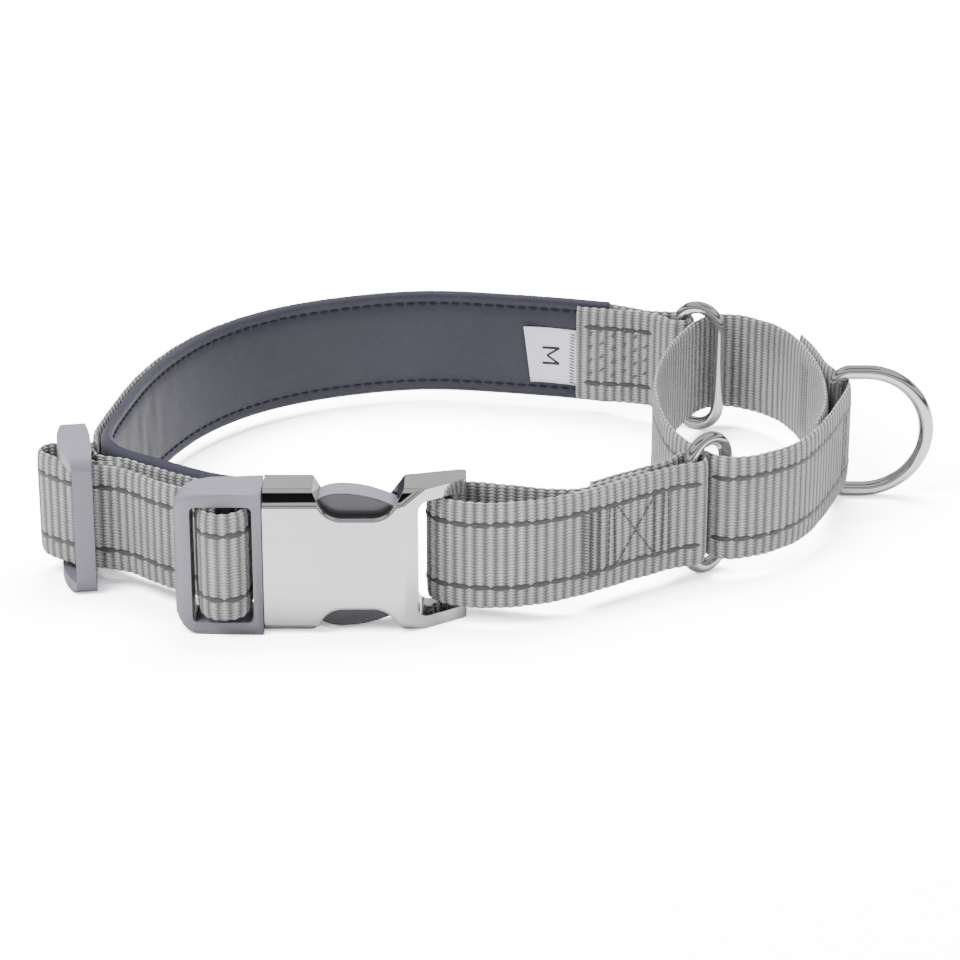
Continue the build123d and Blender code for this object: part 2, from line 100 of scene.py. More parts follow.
RING_WIDTH = 14.4
RING_WIRE = 3.2
LEG_REACH = (RING_WIDTH - RING_WIRE) / 2
FOLD_RADIUS = RING_WIRE / 2 + 1.15 + WEB_THICK / 2
BACK_RING = (51.5, 53.0)
BACK_RING_TURN = -25.0
FRONT_RING = (47.8, -38.6)
FRONT_RING_TURN = 40.0
D_BAR = (81.6, 8.0)
D_WIRE = 3.5
SLIDER_CENTRE = (-94.5, -39.8)
SLIDER_TURN = -79.8
BAR_RADIUS = 2.0
STRAP_SPLIT = 0.60
FACE_Y = -73.5                     # the buckle's front
BEVEL_DEEP = 3.0
NOTCH_LEFT = -40.8
NOTCH_RIGHT = -20.6
MALE_RIGHT = -51.7
SLOT_LEFT = -67.3
SLOT_RIGHT = -53.8
RAIL = 3.0
BUCKLE_TALL = 33.4
SHELL_SOFT = 0.9                   # rounding of the long edges
MALE_SOFT = 1.1
SHELL_EDGE = 0.3                   # rounding of every other sharp edge
MALE_EDGE = 0.4
SLIDER_EDGE = 0.7
LATCH_EDGE = 0.6
EDGE_MARGIN = 0.1
LONG_EDGE = 3                      # least that a front edge runs left to right
NOTCH_EDGE_DEEP = 1.2              # most that a rim's edge runs front to back
SEAT_MARGIN = 0.5                  # beside the shell the male half is rounded by MALE_EDGE only
MALE_FRONT_DEEP = 6                # how far back MALE_SOFT reaches
SLIVER = 0.0002                    # points closer than this become one

# ---- Plan routes of the soft strips, mm ---------------------------------------------------
NECK_ROUTE = [(29.0, 62.2), (18.0, 65.3), (1.0, 69.0), (-16.0, 71.2), (-37.0, 67.0),
              (-57.0, 56.5), (-71.0, 41.0), (-80.0, 22.0), (-84.5, 6.0), (-87.3, -10.0),
              (-88.9, -22.0), (-88.3, -31.0), (-84.3, -38.0), (-77.6, -43.3), (-69.6, -49.0),
              (-62.0, -53.6), (-54.0, -56.2)]
FLAP_ROUTE = [(21.0, 62.9), (28.4, 60.8), (34.0, 59.7), (38.6, 58.2)]
PINCH = (39.4, 59.8)
LOOP_ROUTE = [(76.5, 41.4), (79.3, 29.0), (81.3, 18.5), (83.8, 12.4), (84.7, 8.0), (83.8, 2.6),
              (81.6, -4.0), (79.4, -10.5), (75.9, -19.5), (69.2, -32.0), (62.0, -38.4),
              (56.0, -41.4), (51.6, -41.7), (48.1, -38.9), (44.7, -33.8), (40.8, -24.5),
              (38.6, -12.0), (38.0, 1.0), (39.2, 16.0), (42.2, 30.0), (46.6, 43.0),
              (51.5, 53.0), (55.2, 56.6), (59.8, 57.0), (66.0, 53.6), (71.3, 47.6),
              (75.0, 38.5), (77.5, 26.0), (78.6, 16.0), (78.7, 6.0), (78.2, -1.5),
              (77.4, -8.0), (74.4, -18.9)]
SEWN_ROUTE = [(39.4, -47.6), (36.5, -49.6), (32.0, -52.6), (23.0, -59.3), (18.4, -62.4)]
FRONT_LOOP = [(14.2, -64.9), (9.0, -67.2), (5.0, -68.4), (0.0, -69.2), (-4.0, -69.2),
              (-8.0, -68.3), (-12.2, -66.2), (-15.2, -62.3), (-13.4, -58.0), (-9.0, -56.4),
              (-4.0, -57.0), (2.0, -58.4), (7.0, -59.8), (12.0, -60.9)]
SLIDER_OVER = [(-11.5, -4.0), (-8.5, -3.9), (-5.9, -1.9), (-5.5, 0.6), (-6.6, 3.6), (-7.7, 6.3),
               (-5.4, 9.0), (-1.0, 7.6), (3.0, 4.2), (6.2, 0.4), (8.0, -3.2)]
STRIP_TO_BUCKLE = [(-86.5, -48.0), (-78.5, -53.9), (-71.2, -59.6), (-67.4, -62.2), (-65.8, -66.2),
                   (-65.5, -70.2), (-64.2, -73.7), (-60.4, -75.8), (-56.4, -73.9), (-55.1, -70.2),
                   (-55.1, -65.6), (-57.3, -61.4), (-60.8, -58.9), (-65.2, -56.4), (-72.0, -51.8),
                   (-79.8, -46.2), (-86.6, -42.0)]
SEWN_RADIUS = BAR_RADIUS + 0.55 + WEB_THICK / 2
SEWN_FLAP = [(-90.2, -44.5), (-87.4, -44.6), (-84.2, -46.2)]
STRIP_SPLIT = (-82.0, -48.5)       # where the buckle's end of the strip is cut from the slider's
STRIP_HEADING = (0.82, -0.57)
# Spans from where a strip would stand still to where it would follow a moving body; make_adjuster
# reads them but builds nothing from them.
NECK_SIDE_FOLLOW = ((-38, -4), (-11, -1))            # along the slider and outward from it
SLIDER_SIDE_FOLLOW = (8.5, -3)                       # the same, from STRIP_SPLIT to here
BUCKLE_FOLLOW = ((-79.0, -56.0), (-72.0, -67.0))
# The control loop's dashes, between the places where rings and folds hide them.
LOOP_DASH_STARTS = [(42.6, -29.0), (59.8, 57.0)]
LOOP_DASH_ENDS = [(49.0, -39.9), (44.0, 36.0), (74.2, 41.0)]
LAP_SEAM = (77.0, 28.0)

# ---- Camera and stage, m -------------------------------------------------------------------
CAMERA_TARGET = (-0.00433, 0.01825, 0.0)
CAMERA_DISTANCE = 0.8
CAMERA_ELEVATION = 22.0
CAMERA_LENS = 121.5
FLOOR_LEVEL = 0.9
FLOOR_GAIN = 5.2                   # the floor's level for camera rays only
FLOOR_REACH = 6.0
LIGHT_TARGET = (0.0, 0.0, 0.015)
# Name, place, size and watts of each lamp.
LIGHTS = [("key", (-0.7, -0.5, 1.2), (0.7, 0.7), 26.0),
          ("top", (0.1, 0.5, 1.4), (1.0, 0.7), 50.0),
          ("fill", (0.9, -0.8, 0.7), (0.8, 0.8), 4.0)]
ROOM_COLOUR = (0.40, 0.40, 0.415, 1)
ROOM_STRENGTH = 0.95
ROOM_CAMERA_GAIN = 8.0
# Grey levels that mirror rays see: by height, and across a panel that hangs above PANEL_LOW.
ROOM_BANDS = [(0.0, 0.85), (0.03, 0.8), (0.07, 0.15), (0.15, 0.15), (0.23, 0.95), (0.39, 0.95),
              (0.47, 0.22), (0.57, 0.22), (0.66, 0.9), (0.80, 0.95), (1.0, 0.8)]
PANEL_BANDS = [(0.0, 1.0), (0.30, 1.0), (0.33, 0.02), (0.42, 0.01), (0.45, 1.0), (1.0, 1.0)]
PANEL_LOW = 0.9


# ---- Plan curves ----------------------------------------------------------------------------
class Track:
    """A smooth plan curve through points, sampled evenly, with its right-hand side."""

    def __init__(self, points, spacing=0.25):
        knots = np.array(points, float)
        chord = np.linalg.norm(np.diff(knots, axis=0), axis=1)
        times = np.concatenate([[0.0], np.cumsum(chord)])
        bend = self.second_derivatives(knots, chord)
        fine = np.linspace(0.0, times[-1], 60 * len(knots))
        span = np.clip(np.searchsorted(times, fine, side="right") - 1, 0, len(chord) - 1)
        width = chord[span][:, None]
        left = (times[span + 1] - fine)[:, None]
        right = (fine - times[span])[:, None]
        curve = (bend[span] * left ** 3 + bend[span + 1] * right ** 3) / (6 * width)
        curve += (knots[span] / width - bend[span] * width / 6) * left
        curve += (knots[span + 1] / width - bend[span + 1] * width / 6) * right
        run = np.concatenate([[0.0], np.cumsum(np.linalg.norm(np.diff(curve, axis=0), axis=1))])
        self.length = run[-1]
        self.along = np.linspace(0.0, self.length, int(self.length / spacing) + 2)
        self.xy = np.column_stack([np.interp(self.along, run, curve[:, i]) for i in (0, 1)])
        heading = np.gradient(self.xy, self.along, axis=0)
        heading /= np.linalg.norm(heading, axis=1)[:, None]
        self.right = np.column_stack([heading[:, 1], -heading[:, 0]])

    @staticmethod
    def second_derivatives(knots, chord):
        count = len(knots)
        matrix = np.eye(count)
        values = np.zeros((count, 2))
        for i in range(1, count - 1):
            matrix[i, i - 1:i + 2] = (chord[i - 1], 2 * (chord[i - 1] + chord[i]), chord[i])
            rise = (knots[i + 1] - knots[i]) / chord[i] - (knots[i] - knots[i - 1]) / chord[i - 1]
            values[i] = 6 * rise
        return np.linalg.solve(matrix, values)

    def at(self, along, outward=0.0):
        """Plan point at a distance along the curve, and to its right by outward."""
        spot = [np.interp(along, self.along, self.xy[:, i]) for i in (0, 1)]
        side = [np.interp(along, self.along, self.right[:, i]) for i in (0, 1)]
        return (spot[0] + side[0] * outward, spot[1] + side[1] * outward)

    def nearest(self, point):
        """Distance along the curve of its closest place to a plan point."""
        return self.along[np.argmin(np.linalg.norm(self.xy - np.array(point), axis=1))]

    def crossings(self, point, heading):
        """Distances along the curve where it crosses a plan line square to heading."""
        ahead = (self.xy - np.array(point)) @ np.array(heading)
        found = np.nonzero(np.diff(np.sign(ahead)))[0]
        return [self.along[i] for i in found]


def around(centre, radius, start, end, count):
    turns = [math.radians(start + (end - start) * i / (count - 1)) for i in range(count)]
    return [(centre[0] + radius * math.cos(t), centre[1] + radius * math.sin(t)) for t in turns]


def ring_leg(centre, turn):
    angle = math.radians(turn)
    return (centre[0] - LEG_REACH * math.cos(angle), centre[1] - LEG_REACH * math.sin(angle))


def slider_point(along, outward):
    heading = math.radians(SLIDER_TURN)
    x = SLIDER_CENTRE[0] + along * math.cos(heading) + outward * math.sin(heading)
    y = SLIDER_CENTRE[1] + along * math.sin(heading) - outward * math.cos(heading)
    return (x, y)


def beside(track, shares, outward):
    return [track.at(share * track.length, outward) for share in shares]


def neck_webbing_track(neck):
    shares = [0.012 + (STRAP_SPLIT - 0.012) * i / 34 for i in range(35)]
    leg = ring_leg(BACK_RING, BACK_RING_TURN)
    fold = around(leg, FOLD_RADIUS, -150, 100, 9)
    return Track(FLAP_ROUTE + fold + [PINCH] + beside(neck, shares, WEB_OFFSET))


def adjuster_track(neck):
    shares = [STRAP_SPLIT + 0.001 + 0.014 * i for i in range(12)]
    over = [slider_point(*p) for p in SLIDER_OVER]
    sewn = [slider_point(*p) for p in around((0, 0), SEWN_RADIUS, -80, -350, 9)]
    return Track(beside(neck, shares, WEB_OFFSET) + over + STRIP_TO_BUCKLE + sewn + SEWN_FLAP)


def front_track():
    sewn = Track(SEWN_ROUTE)
    inner = beside(sewn, (0.80, 0.60, 0.40, 0.20), 2 * LAYER_PITCH)
    middle = beside(sewn, (0.97, 0.75, 0.55, 0.40, 0.25), LAYER_PITCH)
    leg = ring_leg(FRONT_RING, FRONT_RING_TURN)
    fold = around(leg, FOLD_RADIUS, 165, -85, 9)
    return Track(inner + fold + SEWN_ROUTE + FRONT_LOOP + middle)


# ---- Mesh helpers -------------------------------------------------------------------------------
def plan_shift():
    """From the plan routes' origin to the part's frame, in mm."""
    low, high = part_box("d_ring")
    x = low.x / MM - (D_BAR[0] - D_WIRE / 2)
    y = (low.y + high.y) / 2 / MM - D_BAR[1]
    return x, y


class Builder:
    """Collects points, faces and strip coordinates, then makes one mesh object."""

    def __init__(self, name, shift):
        self.name = name
        self.shift = shift
        self.points = []
        self.strip = []
        self.faces = []

    def add_point(self, x, y, z, u, v):
        self.points.append(((x + self.shift[0]) * MM, (y + self.shift[1]) * MM, z * MM))
        self.strip.append((u, v))
        return len(self.points) - 1

    def add_sweep(self, rows):
        """Joins equal closed rows of point numbers and caps both ends."""
        count = len(rows[0])
        for a, b in zip(rows, rows[1:]):
            for i in range(count):
                j = (i + 1) % count
                self.faces.append((a[i], a[j], b[j], b[i]))
        self.faces.append(tuple(reversed(rows[0])))
        self.faces.append(tuple(rows[-1]))

    def finish(self, material, body, replaces=()):
        mesh = bpy.data.meshes.new(self.name)
        mesh.from_pydata(self.points, [], self.faces)
        layer = mesh.uv_layers.new(name="strip")
        corner_points = np.empty(len(mesh.loops), int)
        mesh.loops.foreach_get("vertex_index", corner_points)
        layer.data.foreach_set("uv", np.array(self.strip, np.float32)[corner_points].ravel())
        mesh.shade_smooth()
        mesh.materials.append(material)
        work = bmesh.new()
        work.from_mesh(mesh)
        bmesh.ops.recalc_face_normals(work, faces=work.faces)
        work.to_mesh(mesh)
        work.free()
        piece = bpy.data.objects.new(self.name, mesh)
        bpy.context.scene.collection.objects.link(piece)
        if body:
            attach(piece, body)
        if replaces:
            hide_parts(*replaces)
        return piece


def rib(along):
    """1 on a rib's crown and 0 in the groove beside it."""
    return abs(math.cos(math.pi * along / RIB_PITCH))


def webbing_section(along, steps=16):
    """Closed section of woven webbing as (outward, height), with soft selvedges."""
    crown = rib(along)
    half = WEB_THICK / 2 - RIB_DEPTH * (1 - crown)
    reach = WEB_WIDTH / 2 - SELVEDGE_NIP * (1 - crown) - SELVEDGE_WAVER * math.sin(along * 0.7)
    shares = [math.sin(math.pi / 2 * (2 * i / steps - 1)) for i in range(steps + 1)]
    outer = [(half * (1 - abs(s) ** 9) ** 0.5, WEB_MIDDLE + reach * s) for s in shares]
    inner = [(-n, z) for n, z in reversed(outer[1:-1])]
    return outer + inner


def sweep_strip(builder, track, start, end, section, step):
    """Sweeps a section function along part of a track; u and v are mm along and up."""
    count = max(2, int(round((end - start) / step)))
    rows = []
    for i in range(count + 1):
        along = start + (end - start) * i / count
        row = []
        for outward, height in section(along):
            x, y = track.at(along, outward)
            row.append(builder.add_point(x, y, height, along, height))
        rows.append(row)
    builder.add_sweep(rows)


def add_bead(builder, track, middle, height, side, long, tall, thick):
    """A flat pointed bead of thread lying on one face of a strip."""
    rows = []
    for i in range(BEAD_STEPS + 1):
        share = -1 + 2 * i / BEAD_STEPS
        swell = 0.74 * (1 - share ** 2) ** 0.8 + 0.36
        row = []
        for k in range(BEAD_SIDES):
            turn = 2 * math.pi * k / BEAD_SIDES
            out = side * (WEB_THICK / 2 - DASH_SUNK + thick * swell * 0.5 * math.cos(turn))
            up = height + tall / 2 * swell * math.sin(turn)
            along = middle + share * long / 2
            x, y = track.at(along, out)
            row.append(builder.add_point(x, y, up, along, up))
        rows.append(row)
    builder.add_sweep(rows)


def add_thread(builder, track, first, last, face, radius=0.2, lift=0.12):
    """One stitch from first to last, each (along, height), bowed off the strip's face."""
    rows = []
    long = math.hypot(last[0] - first[0], last[1] - first[1])
    lean = math.atan2(last[1] - first[1], last[0] - first[0])
    side = 1 if face > 0 else -1
    for i in range(THREAD_STEPS + 1):
        share = i / THREAD_STEPS
        along = first[0] + (last[0] - first[0]) * share
        height = first[1] + (last[1] - first[1]) * share
        out = face + side * lift * (math.sin(math.pi * share) - 0.35)
        slim = radius * (0.55 + 0.45 * math.sin(math.pi * share))
        row = []
        for k in range(THREAD_SIDES):
            turn = 2 * math.pi * k / THREAD_SIDES
            across = slim * math.sin(turn)
            x, y = track.at(along - across * math.sin(lean), out + slim * math.cos(turn))
            up = height + across * math.cos(lean)
            row.append(builder.add_point(x, y, up, share * long, turn))
        rows.append(row)
    builder.add_sweep(rows)


def add_dashes(builder, track, start, end, side):
    """The two rows of dark dashes woven near the webbing's edges."""
    first = math.ceil(start / DASH_PITCH)
    last = math.ceil(end / DASH_PITCH)
    for row in (WEB_BOTTOM + ROW_INSET, WEB_TOP - ROW_INSET):
        for i in range(first, last):
            middle = DASH_PITCH * i
            height = row + DASH_WAVER * math.sin(middle * 1.7 + row)
            add_bead(builder, track, middle, height, side, DASH_LONG, DASH_TALL, DASH_THICK)


def add_line_stitches(builder, track, first, last, face, pitch=1.5, radius=0.2):
    """A straight sewn line of stitches between two spots on a face."""
    long = math.hypot(last[0] - first[0], last[1] - first[1])
    count = max(1, int(round(long / pitch)))
    for i in range(count):
        a, b = i / count, (i + STITCH_SHARE) / count
        start = tuple(first[k] + (last[k] - first[k]) * a for k in (0, 1))
        end = tuple(first[k] + (last[k] - first[k]) * b for k in (0, 1))
        add_thread(builder, track, start, end, face, radius)


# ---- Materials ----------------------------------------------------------------------------
WEB_LIGHT_LOW = (0.32, 0.32, 0.316)
WEB_LIGHT_HIGH = (0.68, 0.68, 0.67)


class Shader:
    """A procedural material: adds nodes, does sums with them and links them."""

    def __init__(self, name):
        self.material = bpy.data.materials.new(name)
        self.material.use_nodes = True
        self.tree = self.material.node_tree
        self.surface = self.tree.nodes["Principled BSDF"]

    def add(self, kind, **inputs):
        node = self.tree.nodes.new(kind)
        for key, value in inputs.items():
            self.connect(node.inputs[key.replace("_", " ")], value)
        return node

    def connect(self, socket, value):
        if isinstance(value, bpy.types.NodeSocket):
            self.tree.links.new(value, socket)
        else:
            socket.default_value = value

    def set(self, **values):
        for key, value in values.items():
            self.connect(self.surface.inputs[key.replace("_", " ")], value)

    def sum(self, operation, *values):
        node = self.tree.nodes.new("ShaderNodeMath")
        node.operation = operation
        for socket, value in zip(node.inputs, values):
            self.connect(socket, value)
        return node.outputs[0]

    def mix(self, share, first, second):
        node = self.tree.nodes.new("ShaderNodeMix")
        node.data_type = "RGBA"
        self.connect(node.inputs[0], share)
        self.connect(node.inputs[6], (*first, 1) if isinstance(first, tuple) else first)
        self.connect(node.inputs[7], (*second, 1) if isinstance(second, tuple) else second)
        return node.outputs[2]

    def noise(self, scale, detail=3.0):
        node = self.add("ShaderNodeTexNoise", Scale=scale, Detail=detail)
        source = self.tree.nodes.new("ShaderNodeTexCoord").outputs["Object"]
        self.tree.links.new(source, node.inputs["Vector"])
        return node.outputs["Fac"]

    def strip(self):
        """Millimetres along a strip and up it."""
        node = self.tree.nodes.new("ShaderNodeUVMap")
        node.uv_map = "strip"
        split = self.tree.nodes.new("ShaderNodeSeparateXYZ")
        self.tree.links.new(node.outputs["UV"], split.inputs[0])
        return split.outputs[0], split.outputs[1]

    def wave(self, value, pitch, shift=0.0):
        """Smooth 0 to 1 ripple of a pitch."""
        turns = self.sum("ADD", self.sum("DIVIDE", value, pitch), shift)
        swing = self.sum("COSINE", self.sum("MULTIPLY", turns, 2 * math.pi))
        return self.sum("MULTIPLY_ADD", swing, 0.5, 0.5)

    def bump(self, height, strength, distance):
        node = self.add("ShaderNodeBump", Height=height, Strength=strength, Distance=distance)
        self.tree.links.new(node.outputs["Normal"], self.surface.inputs["Normal"])


def webbing_material():
    """Ribs across the strap, each a column of herringbone picks, with painted shade in the rib
    grooves and in the holes between picks.
    """
    shader = Shader("webbing")
    along, height = shader.strip()
    place = shader.sum("FRACT", shader.sum("ADD", shader.sum("DIVIDE", along, RIB_PITCH), 0.5))
    from_crown = shader.sum("ABSOLUTE", shader.sum("SUBTRACT", place, 0.5))
    off_crown = shader.sum("MULTIPLY", from_crown, 2.0)
    drift = shader.sum("MULTIPLY", shader.noise(260.0), 0.9)
    slant = shader.sum("ADD", shader.sum("MULTIPLY", off_crown, 0.6), drift)
    pick = shader.wave(height, PICK_PITCH, slant)
    crown = shader.sum("SUBTRACT", 1.0, shader.sum("POWER", off_crown, 2.6))
    hole = shader.sum("MULTIPLY", shader.sum("SUBTRACT", 1.0, pick),
                      shader.sum("MULTIPLY_ADD", off_crown, 0.75, 0.25))
    relief = shader.sum("MULTIPLY", crown, shader.sum("SUBTRACT", 1.0, hole))
    fibre = shader.noise(5200.0, 2.0)
    patches = shader.noise(70.0, 3.0)
    light = shader.mix(patches, WEB_LIGHT_LOW, WEB_LIGHT_HIGH)
    # Painted shade: the colour is mixed toward near-black in the rib grooves and in the holes
    # between picks.
    shade = shader.sum("MULTIPLY_ADD", shader.sum("POWER", relief, 1.6), 0.96, 0.04)
    colour = shader.mix(shade, (0.06, 0.06, 0.06), light)
    colour = shader.mix(shader.sum("MULTIPLY", fibre, 0.16), colour, (0.66, 0.66, 0.65))
    shader.set(Base_Color=colour, Roughness=shader.sum("MULTIPLY_ADD", fibre, 0.2, 0.6))
    shader.set(Sheen_Weight=0.2, Sheen_Roughness=0.5, Specular_IOR_Level=0.35)
    total = shader.sum("ADD", relief, shader.sum("MULTIPLY", fibre, 0.15))
    shader.bump(total, 1.0, 0.0004)
    return shader.material


def dash_material():
    """Dark grey reflective yarn: fine twist and a dull shine, with painted highlight on the
    twist's crests and in fine flecks.
    """
    shader = Shader("webbing_thread")
    along, height = shader.strip()
    twist = shader.wave(shader.sum("ADD", along, height), 0.42)
    grain = shader.noise(2600.0)
    # Painted highlight: lighter colour along the crests of the twist.
    painted_twist_highlight = shader.sum("MULTIPLY", twist, 0.7)
    colour = shader.mix(painted_twist_highlight, (0.024, 0.021, 0.023), (0.06, 0.055, 0.057))
    # Painted glints: fine flecks mixed toward a lighter grey.
    colour = shader.mix(shader.sum("MULTIPLY", grain, 0.3), colour, (0.10, 0.093, 0.1))
    shader.set(Base_Color=colour, Roughness=0.5, Sheen_Weight=0.2)
    shader.bump(shader.sum("ADD", twist, shader.sum("MULTIPLY", grain, 0.4)), 0.6, 0.00008)
    return shader.material


def thread_material(name, low, high):
    """Twisted sewing thread, with painted highlight on the twist's crests and painted shade
    between them.
    """
    shader = Shader(name)
    along, turn = shader.strip()
    twist = shader.wave(shader.sum("ADD", along, shader.sum("MULTIPLY", turn, 0.06)), 0.38)
    # Painted light and shade: the colour runs from low in the twist's grooves to high on its
    # crests.
    colour = shader.mix(twist, low, high)
    shader.set(Base_Color=colour, Roughness=0.75, Specular_IOR_Level=0.25)
    shader.bump(twist, 0.5, 0.00006)
    return shader.material


def lining_material():
    """Smooth slate neoprene with a fine knit face."""
    shader = Shader("lining_fabric")
    along, height = shader.strip()
    columns = shader.wave(along, 0.34)
    loops = shader.wave(height, 0.26, shader.sum("MULTIPLY", columns, 0.5))
    knit = shader.sum("MULTIPLY", columns, loops)
    patches = shader.noise(38.0, 2.0)
    grain = shader.noise(900.0, 4.0)
    colour = shader.mix(patches, (0.024, 0.024, 0.036), (0.037, 0.037, 0.053))
    colour = shader.mix(shader.sum("MULTIPLY", knit, 0.25), colour, (0.030, 0.030, 0.040))
    shader.set(Base_Color=colour, Roughness=shader.sum("MULTIPLY_ADD", grain, 0.15, 0.5))
    shader.set(Sheen_Weight=0.18, Sheen_Roughness=0.4, Specular_IOR_Level=0.4)
    shader.bump(shader.sum("ADD", knit, shader.sum("MULTIPLY", grain, 0.5)), 0.3, 0.00006)
    return shader.material


def label_material():
    """Woven satin label, with painted highlight on the weave's crowns."""
    shader = Shader("label")
    along, height = shader.strip()
    weave = shader.sum("MULTIPLY", shader.wave(along, 0.22), shader.wave(height, 0.3))
    patches = shader.noise(120.0)
    colour = shader.mix(patches, (0.72, 0.66, 0.76), (0.84, 0.77, 0.87))
    # Painted highlight: the weave's crowns are mixed toward a paler colour.
    colour = shader.mix(shader.sum("MULTIPLY", weave, 0.3), colour, (0.9, 0.86, 0.9))
    shader.set(Base_Color=colour, Roughness=0.42, Sheen_Weight=0.3, Anisotropic=0.4)
    shader.bump(weave, 0.35, 0.00005)
    return shader.material


def ink_material():
    """Dark woven letter."""
    shader = Shader("label_ink")
    grain = shader.noise(3000.0)
    colour = shader.mix(grain, (0.012, 0.011, 0.02), (0.035, 0.03, 0.05))
    shader.set(Base_Color=colour, Roughness=0.6)
    shader.bump(grain, 0.3, 0.00004)
    return shader.material


def plastic_material(name, roughness, painted_side_shade=0.0):
    """Lavender grey moulded plastic; the last argument paints shade onto the faces that look along
    Y.
    """
    shader = Shader(name)
    cloud = shader.noise(60.0, 2.0)
    grain = shader.noise(4200.0, 2.0)
    smear = shader.noise(420.0, 4.0)
    colour = shader.mix(cloud, (0.180, 0.170, 0.210), (0.202, 0.191, 0.234))
    facing = shader.tree.nodes.new("ShaderNodeSeparateXYZ")
    geometry = shader.tree.nodes.new("ShaderNodeNewGeometry")
    shader.tree.links.new(geometry.outputs["Normal"], facing.inputs[0])
    # Painted shade: faces that look along Y are mixed toward near-black by the given share.
    side = shader.sum("MULTIPLY", shader.sum("ABSOLUTE", facing.outputs["Y"]), painted_side_shade)
    colour = shader.mix(side, colour, (0.035, 0.033, 0.04))
    shader.set(Base_Color=colour)
    shader.set(Roughness=shader.sum("MULTIPLY_ADD", smear, 0.12, roughness))
    shader.set(Coat_Weight=0.25, Coat_Roughness=0.25, Specular_IOR_Level=0.5)
    shader.set(Subsurface_Weight=0.06, Subsurface_Scale=0.002)
    shader.bump(grain, 0.12, 0.00003)
    return shader.material


def metal_material():
    """Polished plated metal with faint wipe marks."""
    shader = Shader("polished_metal")
    cloud = shader.noise(45.0, 3.0)
    marks = shader.noise(1400.0, 5.0)
    colour = shader.mix(cloud, (0.53, 0.53, 0.53), (0.58, 0.58, 0.58))
    shader.set(Base_Color=colour, Metallic=1.0)
    shader.set(Roughness=shader.sum("MULTIPLY_ADD", marks, 0.05, 0.045))
    shader.bump(marks, 0.05, 0.00002)
    return shader.material


def floor_material():
    """White paper that the camera sees overexposed, as a studio sweep is."""
    shader = Shader("paper_floor")
    paper = shader.add("ShaderNodeBsdfDiffuse", Roughness=0.5)
    paths = shader.tree.nodes.new("ShaderNodeLightPath")
    extra = FLOOR_GAIN - FLOOR_LEVEL
    level = shader.sum("MULTIPLY_ADD", paths.outputs["Is Camera Ray"], extra, FLOOR_LEVEL)
    shader.connect(paper.inputs["Color"], level)
    output = shader.tree.nodes["Material Output"]
    shader.tree.links.new(paper.outputs["BSDF"], output.inputs["Surface"])
    return shader.material


# ---- Soft pieces --------------------------------------------------------------------------
def lining_section(length):
    """Padded section with a stitched channel near each edge, wrinkled at the tight bend."""
    def section(along):
        share = along / length
        bend = math.exp(-((share - BEND_SHARE) / BEND_SPREAD) ** 2)
        steps = 30
        inner = []
        for i in range(steps + 1):
            height = LINING_BOTTOM + (LINING_TOP - LINING_BOTTOM) * i / steps
            edge = min(height - LINING_BOTTOM, LINING_TOP - height)
            channel = math.exp(-((edge - SEAM_INSET) / CHANNEL_WIDTH) ** 2)
            middle = max(0.0, min(1.0, (edge - SEAM_INSET) / PAD_RAMP))
            roll = 1 - math.sqrt(max(0.0, 1 - max(0.0, 1 - edge / ROLL_WIDTH) ** 2))
            crease = math.sin(along / 1.7 + 0.11 * height)
            crease += 0.5 * math.sin(along / 0.9 - 0.16 * height)
            waver = CREASE_DEPTH * bend * middle * crease
            puff = -PAD_PUFF * math.sin(math.pi / 2 * middle) - PAD_BASE
            inner.append((puff + CHANNEL_DEPTH * channel + ROLL_DEPTH * roll + waver, height))
        outer = []
        for i in range(1, 12):
            height = LINING_TOP - (LINING_TOP - LINING_BOTTOM) * i / 12
            edge = min(height - LINING_BOTTOM, LINING_TOP - height)
            outer.append((LINING_THICK - max(0.0, 1 - edge / BACK_ROLL_WIDTH) ** 2, height))
        return inner + outer
    return section


def make_lining(neck, looks, shift):
    builder = Builder("lining_pad", shift)
    sweep_strip(builder, neck, 0.0, neck.length, lining_section(neck.length), LINING_STEP)
    pad = builder.finish(looks["lining"], "collar",
                         ("lining_cover", "lining_foam"))
    seams = Builder("lining_seams", shift)
    count = int(neck.length / SEAM_PITCH) - 1
    for row in (LINING_BOTTOM + SEAM_INSET, LINING_TOP - SEAM_INSET):
        for i in range(count):
            start = SEAM_START + SEAM_PITCH * i
            add_thread(seams, neck, (start, row), (start + SEAM_PITCH * SEAM_SHARE, row),
                       face=-0.02, radius=0.3, lift=0.16)
    seams.finish(looks["dark_thread"], "collar", ("lining_seam_threads",))


def make_neck_strap(neck, looks, shift):
    track = neck_webbing_track(neck)
    builder = Builder("neck_strap", shift)
    sweep_strip(builder, track, 0.0, track.length, webbing_section, WEB_STEP)
    builder.finish(looks["webbing"], "collar", ("neck_webbing",))
    dashes = Builder("neck_strap_dashes", shift)
    add_dashes(dashes, track, track.nearest(PINCH) + 8.0, track.length - 1.0, 1)
    add_dashes(dashes, track, 2.0, 19.0, 1)
    dashes.finish(looks["dash"], "collar", ("neck_edge_threads",))
    stitches = Builder("back_fold_stitches", shift)
    face = WEB_THICK / 2 + 0.06
    column_pitch, row_pitch, stagger = 2.9, 3.6, 1.2
    for column in range(6):
        for row in range(4):
            along = 3.2 + column_pitch * column
            height = WEB_MIDDLE - 5.4 + row_pitch * row + (stagger if column % 2 else 0.0)
            add_thread(stitches, track, (along, height), (along + 1.1, height + 1.0), face,
                       radius=0.26)
    stitches.finish(looks["box_thread"], "collar", ("back_fold_stitching",))


